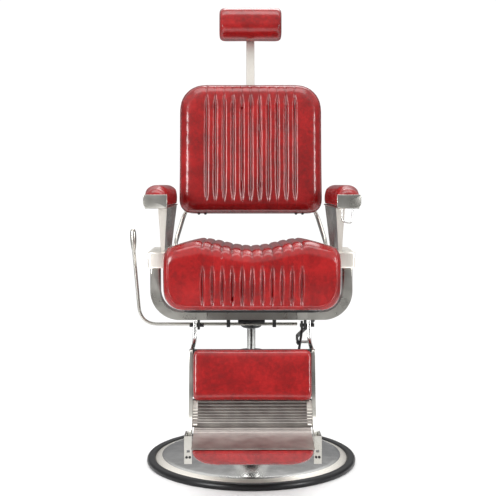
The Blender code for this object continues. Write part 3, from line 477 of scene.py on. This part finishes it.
def tube(name, path, radius, body, finish, closed=False, sides=10, ends=None):
    """Piping or wire: a round section along a path. `ends` scales its radius at each point."""
    shape = bmesh.new()
    rings = []
    last = len(path) - 1
    side = None
    for n, point in enumerate(path):
        before = path[n - 1] if n or closed else path[0]
        after = path[(n + 1) % len(path)] if n < last or closed else path[last]
        along = (Vector(after) - Vector(before)).normalized()
        side = along.orthogonal() if side is None else side - along * side.dot(along)
        side.normalize()
        rise = along.cross(side)
        size = radius * (ends[n] if ends else 1.0)
        rings.append([shape.verts.new(Vector(point) + side * size * cos(2 * pi * k / sides)
                                      + rise * size * sin(2 * pi * k / sides)) for k in range(sides)])
    pairs = list(zip(rings, rings[1:])) + ([(rings[-1], rings[0])] if closed else [])
    for near, far in pairs:
        turn = 0
        if closed and far is rings[0]:
            turn = min(range(sides), key=lambda k: (far[k].co - near[0].co).length)
        for k in range(sides):
            after = (k + 1) % sides
            shape.faces.new((near[k], near[after], far[(after + turn) % sides], far[(k + turn) % sides]))
    if not closed:
        shape.faces.new(rings[0][::-1])
        shape.faces.new(rings[-1])
    return piece(name, shape, body, None, finish)


# Artificial leather: a glossy vinyl skin on cloth, dyed bright red over a darker mottled ground.
# Seams are painted a darker red along their grooves and on the back's piping: painted shade. A fine pebble
# grain breaks the shine.
leather, tree, shader = principled("red_artificial_leather", IOR=1.5, Coat_Weight=0.16, Coat_Roughness=0.08)
place = object_place(tree)
mottle = add_node(tree, "TexNoise", {"Vector": place, "Scale": 1 / (11 * MM), "Detail": 7.0,
                                     "Roughness": 0.65})
broad = add_node(tree, "TexNoise", {"Vector": place, "Scale": 1 / (70 * MM), "Detail": 3.0})
dye = add_node(tree, "Math", {0: mottle.outputs["Fac"], 1: broad.outputs["Fac"]}, operation="ADD")
shade = add_node(tree, "Math", {0: dye.outputs["Value"], 1: 0.5}, operation="MULTIPLY")
red = add_node(tree, "ValToRGB", {"Fac": shade.outputs["Value"]}, (
    (0.36, "#660C0D"), (0.46, "#780E0F"), (0.54, "#861213"), (0.66, "#951818")))
# Painted shade: the attribute set in seam grooves and on the back's piping mixes the red towards a dark red.
seam = add_node(tree, "Attribute", attribute_name="crease_shade")
shade_in_seams = add_node(tree, "Mix", {"Factor": seam.outputs["Fac"], "A": red.outputs["Color"],
                                 "B": linear("#540A0C")}, data_type="RGBA")
tree.links.new(shade_in_seams.outputs["Result"], shader.inputs["Base Color"])
dull = add_node(tree, "MapRange", {"Value": mottle.outputs["Fac"], "From Min": 0.3, "From Max": 0.7,
                                   "To Min": 0.27, "To Max": 0.17})
tree.links.new(dull.outputs["Result"], shader.inputs["Roughness"])
pebble = add_node(tree, "TexVoronoi", {"Vector": place, "Scale": 1 / (1.3 * MM)})
wrinkle = add_node(tree, "TexNoise", {"Vector": place, "Scale": 1 / (14 * MM), "Detail": 3.0})
fine = add_node(tree, "Bump", {"Height": pebble.outputs["Distance"], "Strength": 0.10, "Distance": 0.12 * MM})
bump = add_node(tree, "Bump", {"Height": wrinkle.outputs["Fac"], "Normal": fine.outputs["Normal"],
                               "Strength": 0.30, "Distance": 1.6 * MM})
tree.links.new(bump.outputs["Normal"], shader.inputs["Normal"])


def sew_seat(mesh):
    """Channels up the front and over the top. They are deepest halfway up the front."""
    low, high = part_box("seat_cushion")

    def hold(place, normal):
        if normal.z < -0.75 or place.z < low[2] + 0.010:
            return 0.0
        rise = (place.z - low[2] - 0.010) / 0.110
        front = 0.12 + 0.88 * max(0.0, sin(pi * min(1.0, rise))) ** 0.7
        top = min(1.0, max(0.0, (normal.z - 0.35) / 0.35))
        return max(front * (1.0 - top), 0.55 * top)
    flutes(mesh, 10, 0.0258, 0.0080, 0.0013, hold)


seat = soft("seat_cover", "seat_cushion", "chair", 0.005, 0.005, finish=leather, sew=sew_seat)


def hugging(cover, start, aim, sink):
    """The point where a line from start towards aim meets a cover, sunk into it a little."""
    heading = (Vector(aim) - Vector(start)).normalized()
    place, normal, _, _ = cover.ray_cast(Vector(start), heading)
    return place - normal * sink if place else None


cover = BVHTree.FromObject(seat, bpy.context.evaluated_depsgraph_get())
PANEL, BEAD = 0.2190, 0.0036
half_path = []
for step in range(30):
    y = 0.150 - 0.405 * step / 29
    x = PANEL - max(0.0, y - 0.05) * 0.30
    half_path.append(((x, y, 0.80), (x, y, 0.4)))
for step in range(1, 8):
    turn = radians(90 - 90 * step / 8)
    half_path.append(((PANEL, -0.255 - 0.2 * cos(turn), 0.620 + 0.2 * sin(turn)), (PANEL, -0.255, 0.620)))
for step in range(14):
    half_path.append(((PANEL, -0.45, 0.620 - 0.088 * step / 13), (PANEL, 0.0, 0.620 - 0.088 * step / 13)))
for x, z in arc(PANEL - 0.052, 0.530, 0.052, 0, -90, 12)[1:]:
    half_path.append(((x, -0.45, z), (x, 0.0, z)))
for step in range(1, 12):
    x = (PANEL - 0.052) * (1 - step / 12)
    half_path.append(((x, -0.45, 0.478), (x, 0.0, 0.478)))
right = [hugging(cover, start, aim, 0.0012) for start, aim in half_path]
right = [place for place in right if place]
path = right + [Vector((-p.x, p.y, p.z)) for p in right[::-1]]
tube("seat_piping", path, BEAD, "chair", leather)


# ------------------------------------------------------------------ arms
# Each arm pad is clipped into a bent steel channel whose front is a rounded cap. A tapered front post and a
# folded side panel carry the channel. The channel and cap are satin plated, the post is bright drawn steel
# and the side panel is chrome plated.
ARM_LOW, ARM_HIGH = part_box("arm_rail_right")
PAD_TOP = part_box("arm_pad_right")[1][2]
ARM_X = (ARM_LOW[0] + ARM_HIGH[0]) / 2
ARM_SHEET = 0.004
for side, sign in (("left", -1), ("right", 1)):
    inner, outer = ARM_LOW[0], ARM_HIGH[0]
    top, low = ARM_HIGH[2], ARM_LOW[2]
    cap = [(inner, top), (inner, low + 0.004), (inner + 0.004, low)]
    cap += arc(outer - 0.015, low + 0.015, 0.015, -90, 0, 8) + [(outer, top - 0.003), (outer - 0.003, top)]
    cap = [(sign * x, z) for x, z in cap]
    prism(f"arm_cap_{side}", cap, "Y", ARM_LOW[1], ARM_LOW[1] + 0.006, 0.0014, "chair",
          f"arm_rail_{side}", satin)
    start, end = ARM_LOW[1] + 0.003, ARM_HIGH[1]
    channel = [(start, low), (end, low), (end, low + ARM_SHEET), (start, low + ARM_SHEET)]
    near, far = sorted((sign * (inner + 0.002), sign * (outer - 0.004)))
    prism(f"arm_channel_{side}", channel, "X", near, far, 0.001, "chair", f"arm_rail_{side}", satin)
refinish(bar_steel, *both("arm_front_post"))
refinish(chrome, *both("arm_side_panel"))


for side, sign in (("left", -1), ("right", 1)):
    pad = soft(f"arm_pad_cover_{side}", f"arm_pad_{side}", "chair", 0.004, 0.005, finish=leather)
    cover = BVHTree.FromObject(pad, bpy.context.evaluated_depsgraph_get())
    low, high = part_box(f"arm_pad_{side}")
    middle = sign * ARM_X
    path = []
    for step in range(40):
        y = low[1] + 0.008 + (high[1] - low[1] - 0.016) * step / 39
        height = low[2] + 0.0035
        path.append(hugging(cover, (middle - sign * 0.08, y, height), (middle, y, height), 0.0010))
    path = [place for place in path if place]
    tube(f"arm_piping_{side}", path, 0.0022, "chair", leather)


# ------------------------------------------------------------------ levers
# The pump lever is a bent plated rod in two bearings under the seat, with a turned metal grip. A bent
# wire under the right arm releases the recline.
def smooth_path(corners, radius, steps=8):
    """Round the inner corners of a path of points."""
    path = [Vector(corners[0])]
    for before, corner, after in zip(corners, corners[1:], corners[2:]):
        corner = Vector(corner)
        start = corner + (Vector(before) - corner).normalized() * radius
        end = corner + (Vector(after) - corner).normalized() * radius
        for step in range(steps + 1):
            t = step / steps
            path.append(start * (1 - t) ** 2 + corner * 2 * t * (1 - t) + end * t ** 2)
    return path + [Vector(corners[-1])]


LEVER_AXIS = Vector((0.0, -0.035, 0.4005))
corners = [(0.130, 0.0, 0.0), (-0.3140, 0.0, 0.0), (-0.3315, 0.0, 0.208)]
path = smooth_path([LEVER_AXIS + Vector(corner) for corner in corners], 0.050, 16)
lever = tube("pump_lever_rod", path, 0.0045, "pump_handle", satin, sides=20)
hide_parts("pump_lever")
foot, tip = LEVER_AXIS + Vector((-0.3316, 0.0, 0.2085)), LEVER_AXIS + Vector((-0.3335, 0.0, 0.2700))
shares = ((0.0, 0.0046), (0.02, 0.0054), (0.10, 0.0060), (0.25, 0.0074), (0.45, 0.0086), (0.65, 0.0087),
          (0.85, 0.0080), (0.94, 0.0066), (0.985, 0.0042), (1.0, 0.0010))
grip = tube("pump_lever_knob", [foot.lerp(tip, share) for share, _ in shares], 0.001, "pump_handle", satin,
            sides=24, ends=[radius / 0.001 for _, radius in shares])
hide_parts("pump_lever_grip")

BAIL_AXIS = Vector((0.0, -0.200, 0.7305))
corners = [(0.2670, 0.0, 0.0), (0.2640, 0.0, -0.0400), (0.2385, 0.0, -0.0330), (0.2385, 0.0, 0.0)]
path = smooth_path([BAIL_AXIS + Vector(corner) for corner in corners], 0.009, 8)
bail = tube("release_wire", path, 0.0018, "recline_release", chrome, sides=12)
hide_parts("release_bail")


# ------------------------------------------------------------------ backrest
# Foam on a board, covered like the seat: ten sewn channels between smooth side borders, piping round
# the edge, and a black panel behind. Two flat steel brackets bolt to the back and hang on the pivots.
BACK_PIVOT = Vector((0.0, 0.205, 0.5865))
LEAN = Matrix.Translation(BACK_PIVOT) @ Matrix.Rotation(radians(-8.0), 4, "X")
UPRIGHT = LEAN.inverted()
BACK_HALF, BACK_LOW, BACK_HIGH = 0.2165, 0.121, 0.515


def sew_back(mesh):
    """Channels on the front face only, which begin as folds at the top edge."""
    def hold(place, normal):
        local, facing = UPRIGHT @ place, UPRIGHT.to_3x3() @ normal
        front = min(1.0, max(0.0, (-0.20 - facing.y) / 0.35))
        foot = min(1.0, max(0.10, (local.z - BACK_LOW - 0.020) / 0.050))
        crown = min(1.0, max(0.30, (BACK_HIGH - 0.020 - local.z) / 0.045))
        return front * foot * crown
    flutes(mesh, 10, 0.0270, 0.0078, 0.0013, hold)


def outline(half, low, high, top_corner, low_corner, steps=10):
    """A rounded outline of a cushion, seen from the front."""
    made = arc(half - low_corner, low + low_corner, low_corner, -90, 0, steps)
    made += arc(half - top_corner, high - top_corner, top_corner, 0, 90, steps)
    made += arc(top_corner - half, high - top_corner, top_corner, 90, 180, steps)
    return made + arc(low_corner - half, low + low_corner, low_corner, 180, 270, steps)


def evenly(points, spacing):
    """Points at equal steps round a closed outline."""
    made = []
    for a, b in zip(points, points[1:] + points[:1]):
        a, b = Vector(a), Vector(b)
        count = max(1, round((b - a).length / spacing))
        made += [a.lerp(b, n / count) for n in range(count)]
    return [place for n, place in enumerate(made) if (place - made[n - 1]).length > spacing * 0.3]


back = soft("back_cover", "back_cushion", "back", 0.005, 0.0055, finish=leather, sew=sew_back)
cover = BVHTree.FromObject(back, bpy.context.evaluated_depsgraph_get())
BACK_MIDDLE = 0.316
for name, depth in (("front", -0.024), ("rear", 0.024)):
    path = []
    for x, z in evenly(outline(BACK_HALF, BACK_LOW, BACK_HIGH, 0.076, 0.036), 0.008):
        aim = LEAN @ Vector((x * 0.5, depth, BACK_MIDDLE + (z - BACK_MIDDLE) * 0.5))
        start = LEAN @ Vector((x * 1.4, depth, BACK_MIDDLE + (z - BACK_MIDDLE) * 1.4))
        path.append(hugging(cover, start, aim, 0.0010))
    path = [place for place in path if place]
    piping = tube(f"back_piping_{name}", path, 0.0030, "back", leather, closed=True)
    # Painted shade: the whole back piping is darkened like the seam grooves, for the dark line round the
    # back's edge.
    piping_shade = piping.data.attributes.new("crease_shade", "FLOAT", "POINT")
    piping_shade.data.foreach_set("value", [0.75] * len(piping.data.vertices))


def swept(name, path, width, thickness, across, body, node, finish, matrix=Matrix.Identity(4)):
    """A flat bar with rounded edges, carried along a path of points."""
    a, b, corner = width / 2, thickness / 2, min(width, thickness) * 0.22
    section = rounded_profile([(-a, -b), (a, -b), (a, b), (-a, b)], corner * 1.6, 3)
    shape = bmesh.new()
    rings = []
    for n, point in enumerate(path):
        along = (path[min(n + 1, len(path) - 1)] - path[max(n - 1, 0)]).normalized()
        side = (across - along * across.dot(along)).normalized()
        rise = along.cross(side)
        rings.append([shape.verts.new(matrix @ (point + side * u + rise * v)) for u, v in section])
    for near, far in zip(rings, rings[1:]):
        for k in range(len(section)):
            after = (k + 1) % len(section)
            shape.faces.new((near[k], near[after], far[after], far[k]))
    shape.faces.new(rings[0][::-1])
    shape.faces.new(rings[-1])
    return piece(name, shape, body, node, finish)


def bolt(name, place, facing, radius, height, body, finish):
    """A button-head screw with a hexagon socket."""
    turn = Vector(facing).to_track_quat("Z", "Y").to_matrix().to_4x4()
    matrix = Matrix.Translation(Vector(place)) @ turn
    profile = [(radius, 0.0), (radius * 0.97, height * 0.35), (radius * 0.80, height * 0.80),
               (radius * 0.52, height)]
    shape = bmesh.new()
    sides = 24
    rings = [[shape.verts.new(matrix @ Vector((r * cos(2 * pi * k / sides), r * sin(2 * pi * k / sides), z)))
              for k in range(sides)] for r, z in profile]
    socket = []
    for r, z in ((radius * 0.42, height), (radius * 0.42, height * 0.3)):
        ring = []
        for k in range(sides):
            turn = 2 * pi * k / sides
            flat = r / max(cos((turn % (pi / 3)) - pi / 6), 0.5) * 0.9
            ring.append(shape.verts.new(matrix @ Vector((flat * cos(turn), flat * sin(turn), z))))
        socket.append(ring)
    for near, far in zip(rings + socket, (rings + socket)[1:]):
        for k in range(sides):
            after = (k + 1) % sides
            shape.faces.new((near[k], near[after], far[after], far[k]))
    shape.faces.new(socket[-1])
    shape.faces.new(rings[0][::-1])
    return piece(name, shape, body, None, finish, 30)


# Black vinyl: the same coated cloth, stretched over a fibreboard panel behind the foam.
vinyl, tree, shader = principled("black_vinyl_panel", IOR=1.5)
place = object_place(tree)
pebble = add_node(tree, "TexVoronoi", {"Vector": place, "Scale": 1 / (1.4 * MM)})
cloud = add_node(tree, "TexNoise", {"Vector": place, "Scale": 1 / (50 * MM), "Detail": 4.0})
tint = add_node(tree, "ValToRGB", {"Fac": cloud.outputs["Fac"]}, ((0.3, "#151415"), (0.7, "#232122")))
tree.links.new(tint.outputs["Color"], shader.inputs["Base Color"])
dull = add_node(tree, "MapRange", {"Value": cloud.outputs["Fac"], "To Min": 0.40, "To Max": 0.55})
tree.links.new(dull.outputs["Result"], shader.inputs["Roughness"])
bump = add_node(tree, "Bump", {"Height": pebble.outputs["Distance"], "Strength": 0.25, "Distance": 0.15 * MM})
tree.links.new(bump.outputs["Normal"], shader.inputs["Normal"])
BOARD_FRONT, BOARD_REAR = 0.0333, 0.0453
edge = outline(BACK_HALF - 0.010, BACK_LOW + 0.008, BACK_HIGH - 0.010, 0.068, 0.028)
panel = prism("back_panel", edge, "Y", BOARD_FRONT, BOARD_REAR, 0.004, "back", "back_board", vinyl,
              50)
panel.data.transform(LEAN)

BAR_DEPTH = 0.022
behind = BOARD_REAR + 0.0003 + BAR_DEPTH / 2
for side, sign in (("left", -1), ("right", 1)):
    foot = -0.057 if side == "right" else -0.016
    corners = [(sign * 0.2305, 0.0, foot), (sign * 0.2305, 0.0, 0.030), (sign * 0.2110, behind, 0.112),
               (sign * 0.1950, behind, 0.150), (sign * 0.1950, behind, 0.250)]
    path = smooth_path(corners, 0.016, 6)
    swept(f"back_hanger_{side}", path, 0.010, BAR_DEPTH, Vector((1, 0, 0)), "back", f"back_bracket_{side}",
          satin, LEAN)
    for level in (0.165, 0.215):
        place = LEAN @ Vector((sign * 0.1950, behind + BAR_DEPTH / 2, level))
        bolt(f"hanger_bolt_{side}_{round(level / MM)}", place, LEAN.to_3x3() @ Vector((0, 1, 0)), 0.0055,
             0.003, "back", powder)
    for x in (0.139, 0.159):
        place = LEAN @ Vector((sign * x, -0.005, BACK_LOW + 0.002))
        bolt(f"back_foot_bolt_{side}_{round(x / MM)}", place, LEAN.to_3x3() @ Vector((0, 0, -1)), 0.0048,
             0.0065, "back", powder)
refinish(chrome, "link_pin")


# ------------------------------------------------------------------ headrest
# A small padded block on a bright flat bar. The bar slides in a sleeve behind the backrest, and the
# block tilts on a pin at its top.
refinish(bar_steel, "headrest_bar")
refinish(powder, "headrest_sleeve", "headrest_plate")
refinish(chrome, "headrest_pin")


def sew_head(mesh):
    """A stitched line round the block, between its face and its boxed sides, with painted shade in its
    groove.
    """
    mesh.update()
    normals = [vertex.normal.copy() for vertex in mesh.vertices]
    crease_shade = mesh.attributes.new("crease_shade", "FLOAT", "POINT")
    for vertex, normal in zip(mesh.vertices, normals):
        local = UPRIGHT @ vertex.co
        away = abs(local.y - 0.020) / 0.0045
        if away < 1.0:
            vertex.co -= normal * 0.0018 * (1 - away ** 2)
            # Painted shade in the stitched groove.
            crease_shade.data[vertex.index].value = (1 - away) * 0.8


soft("headrest_cover", "headrest_cushion", "headrest", 0.004, 0.006, finish=leather, sew=sew_head)


# ------------------------------------------------------------------ recline link
# A black flat steel push rod behind the right bracket turns the legrest as the back goes down.
refinish(powder, "recline_link_rod")


# ------------------------------------------------------------------ footrest
# Two bent chrome arms hang from pins under the seat and carry satin plated side rails. Between the
# rails are a calf pad on a black board and a ribbed cast aluminium heel plate.
refinish(powder, *both("footrest_lug"), "calf_stay_rod", "calf_board")
FOOT_PIVOT = Vector((0.0, -0.200, 0.421))
DROP = Matrix.Rotation(radians(-8.0), 3, "X") @ Vector((0.0, 0.0, -0.045))
for side, sign in (("left", -1), ("right", 1)):
    corners = [(sign * 0.1520, 0.0020, 0.0110), (sign * 0.1520, DROP.y, DROP.z + 0.004),
               (sign * 0.1575, -0.0400, -0.0650), (sign * 0.1575, -0.0758, -0.0650)]
    path = smooth_path([FOOT_PIVOT + Vector(corner) for corner in corners], 0.020, 8)
    swept(f"footrest_crank_{side}", path, 0.010, 0.018, Vector((1, 0, 0)), "footrest", f"footrest_arm_{side}",
          chrome)
    rail = [(-0.2764, 0.3700), (-0.2960, 0.3720), (-0.3190, 0.2500), (-0.3440, 0.2060), (-0.3860, 0.1740),
            (-0.3860, 0.1450), (-0.3640, 0.1420), (-0.3300, 0.1780), (-0.2960, 0.2400), (-0.2764, 0.3300)]
    inner, outer = sorted((sign * 0.1525, sign * 0.1620))
    prism(f"footrest_rail_{side}", rounded_profile(rail, 0.016, 5), "X", inner, outer, 0.0022, "footrest",
          f"footrest_side_{side}", satin)
path = [Vector((x, FOOT_PIVOT.y + DROP.y, FOOT_PIVOT.z + DROP.z)) for x in (0.1175, 0.1500)]
stud = tube("crank_pin", path, 0.0040, "footrest", chrome, sides=24)
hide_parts("footrest_arm_right")


calf = soft("calf_cover", "calf_pad", "footrest", 0.004, 0.005, finish=leather)
cover = BVHTree.FromObject(calf, bpy.context.evaluated_depsgraph_get())
low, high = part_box("calf_pad")
path = []
for step in range(40):
    x = (high[0] - 0.010) * (1 - 2 * step / 39)
    path.append(hugging(cover, (x, -0.3100, 0.50), (x, -0.3200, 0.30), 0.0008))
tube("calf_piping", [place for place in path if place], 0.0026, "footrest", leather)

# Cast aluminium: a sand-fine skin, polished on the tops of its ribs.
aluminium, tree, shader = principled("ribbed_cast_aluminium", Metallic=0.9)
place = object_place(tree)
sand = add_node(tree, "TexNoise", {"Vector": place, "Scale": 1 / (1.0 * MM), "Detail": 4.0})
cloud = add_node(tree, "TexNoise", {"Vector": place, "Scale": 1 / (30 * MM), "Detail": 3.0})
tint = add_node(tree, "ValToRGB", {"Fac": cloud.outputs["Fac"]}, ((0.3, "#928D89"), (0.7, "#A8A39E")))
tree.links.new(tint.outputs["Color"], shader.inputs["Base Color"])
dull = add_node(tree, "MapRange", {"Value": cloud.outputs["Fac"], "To Min": 0.30, "To Max": 0.45})
tree.links.new(dull.outputs["Result"], shader.inputs["Roughness"])
bump = add_node(tree, "Bump", {"Height": sand.outputs["Fac"], "Strength": 0.2, "Distance": 0.08 * MM})
tree.links.new(bump.outputs["Normal"], shader.inputs["Normal"])


def ribbed(points, count, rise, steps=10):
    """Points along a curve of three controls, lifted into round ribs."""
    a, b, c = (Vector(p) for p in points)
    front = []
    for step in range(count * steps + 1):
        t = step / (count * steps)
        place = a * (1 - t) ** 2 + b * 2 * t * (1 - t) + c * t ** 2
        along = ((b - a) * (1 - t) + (c - b) * t).normalized()
        lift = rise * abs(sin(pi * step / steps)) ** 0.6
        front.append(tuple(place + Vector((along.y, -along.x)) * lift))
    return front


curve = ((-0.3080, 0.2440), (-0.3180, 0.2080), (-0.3450, 0.1895))
front = ribbed(curve, 8, 0.0030)
lip = [(-0.3452, 0.1815), (-0.3432, 0.1815)]
back_edge = [(y + 0.0030, z + 0.0016) for y, z in ribbed(curve, 8, 0.0, steps=2)][::-1]
low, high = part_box("footrest_grille")
prism("heel_grille", front + lip + back_edge, "X", low[0], high[0], 0.0, "footrest", "footrest_grille",
      aluminium, 60)

strip = [(y - 0.0042, z - 0.0020) for y, z in ribbed(curve, 8, 0.0, steps=3)]
strip += [(y + 0.0025, z + 0.0012) for y, z in strip[::-1]]
for side, sign in (("left", -1), ("right", 1)):
    near, far = sorted((sign * 0.1395, sign * 0.1520))
    prism(f"grille_strip_{side}", strip, "X", near, far, 0.0006, "footrest", "footrest_grille", bar_steel,
          60)


# ------------------------------------------------------------------ footplate
# A hinged foot plate: a cast tread with three ribs above, a red pad below for when it's folded, and
# two plated side brackets that turn on the rails.
TREAD_REAR, RIBS, RIB_STEPS = -0.3500, 3, 36
tread = [(TREAD_REAR, 0.1830), (TREAD_REAR, 0.1800), (-0.4950, 0.1635), (-0.4975, 0.1650), (-0.4970, 0.1672)]
for step in range(RIB_STEPS, -1, -1):
    y = -0.3520 - 0.0360 * step / RIB_STEPS
    rib = 0.0022 * abs(sin(pi * RIBS * step / RIB_STEPS)) ** 0.6
    tread.append((y, 0.1830 + (y - TREAD_REAR) * 0.110 + rib))
low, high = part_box("footplate_tread")
prism("foot_tread", tread, "X", low[0], high[0], 0.0, "footplate", "footplate_tread", aluminium,
      60)


def round_foot(mesh):
    """Draw the underside up towards both ends like a shallow bowl, and keep the top under the tread."""
    low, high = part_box("footplate_pad")
    for vertex in mesh.vertices:
        beyond = max(0.0, (abs(vertex.co.x) - 0.085) / 0.0620)
        keep = max(0.0, 1.0 - min(1.0, beyond) ** 2) ** 0.5
        seam = low[2] + 0.038
        if vertex.co.z < seam:
            vertex.co.z = seam - (seam - vertex.co.z) * (0.25 + 0.75 * keep)
        vertex.co.z = min(vertex.co.z, 0.1790 + (vertex.co.y - TREAD_REAR) * 0.1138)


pad = soft("foot_pad_cover", "footplate_pad", "footplate", 0.004, 0.005, finish=leather, sew=round_foot)
cover = BVHTree.FromObject(pad, bpy.context.evaluated_depsgraph_get())
path = []
for step in range(44):
    x = 0.1395 * (1 - 2 * step / 43)
    path.append(hugging(cover, (x, -0.60, 0.1555), (x, -0.45, 0.1555), 0.0008))
tube("foot_pad_piping", [place for place in path if place], 0.0024, "footplate", leather)
refinish(satin, *both("footplate_bracket"))
for side, sign in (("left", -1), ("right", 1)):
    for name, x in (("inner", 0.1525), ("outer", 0.1600)):
        bolt(f"foot_bolt_{name}_{side}", (sign * x, -0.4679, 0.1385), (0, -1, 0), 0.0034, 0.0022, "footplate",
             powder)
